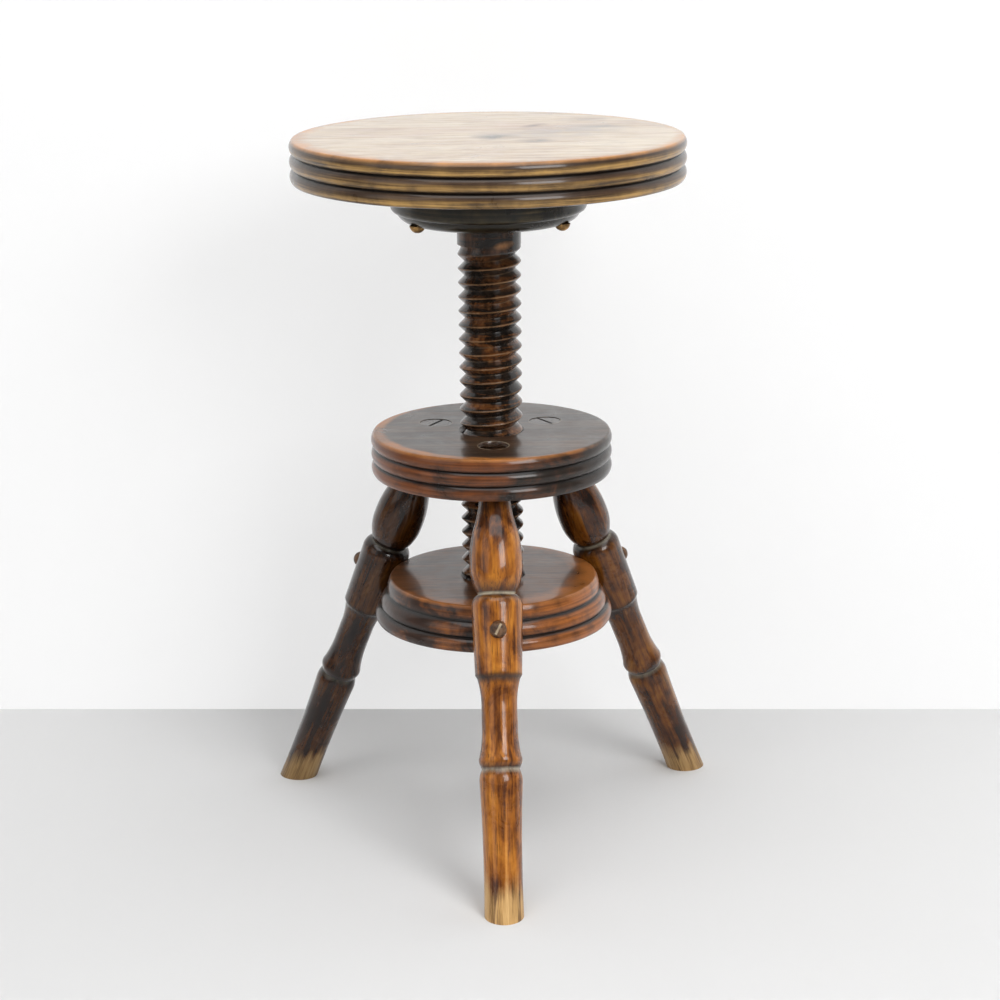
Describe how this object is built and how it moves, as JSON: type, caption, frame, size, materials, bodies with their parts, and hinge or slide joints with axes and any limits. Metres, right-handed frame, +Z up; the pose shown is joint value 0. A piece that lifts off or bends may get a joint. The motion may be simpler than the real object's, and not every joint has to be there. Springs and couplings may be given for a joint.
{
  "type": "revolving piano stool",
  "caption": "Turned wooden stool with a round reeded seat on a coarse wooden screw, threaded through round discs that tie splayed turned legs.",
  "frame": {"origin": "on the floor, where the axis of the wooden screw meets it", "axes": "+Z up along the screw's axis, +X to the right and +Y to the back as seen from the front, where one leg points to -Y"},
  "size_m": [0.4156, 0.41, 0.635],
  "materials": {
    "seat_wood": "worn dark polish over turned wood",
    "flange_wood": "near-black old polish",
    "screw_wood": "near-black, worn brown on the crests",
    "disc_wood": "dark polish with worn warm edges",
    "leg_wood": "glossy honey-brown polish, bare at the feet",
    "wedge_wood": "end grain under old polish",
    "flange_screw_metal": "tarnished golden-brown",
    "leg_screw_metal": "dark rusted iron"
  },
  "bodies": {
    "base": {"middle_disc": "disc_wood", "lower_disc": "disc_wood", "leg_front": "leg_wood", "leg_right": "leg_wood", "leg_left": "leg_wood", "leg_wedge_front": "wedge_wood", "leg_wedge_right": "wedge_wood", "leg_wedge_left": "wedge_wood", "leg_screw_front": "leg_screw_metal", "leg_screw_right": "leg_screw_metal", "leg_screw_left": "leg_screw_metal"},
    "lift_pin": {"tenon_pin": "screw_wood"},
    "seat": {"seat_disc": "seat_wood", "seat_flange": "flange_wood", "flange_screw_front_left": "flange_screw_metal", "flange_screw_front_right": "flange_screw_metal", "flange_screw_back": "flange_screw_metal", "spindle": "screw_wood"}
  },
  "joints": [
    {"name": "seat_lift", "type": "slide", "parent": "base", "child": "lift_pin", "axis": [0, 0, 1], "range_m": [-0.1589, 0.0382]},
    {"name": "seat_turn", "type": "hinge", "parent": "lift_pin", "child": "seat", "pos_m": [0, 0, 0.372], "axis": [0, 0, 1], "range_deg": [-4500, 1080]}
  ],
  "couplings": [
    {"joint": "seat_lift", "follows": "seat_turn", "m_per_rad": 0.0020213}
  ]
}
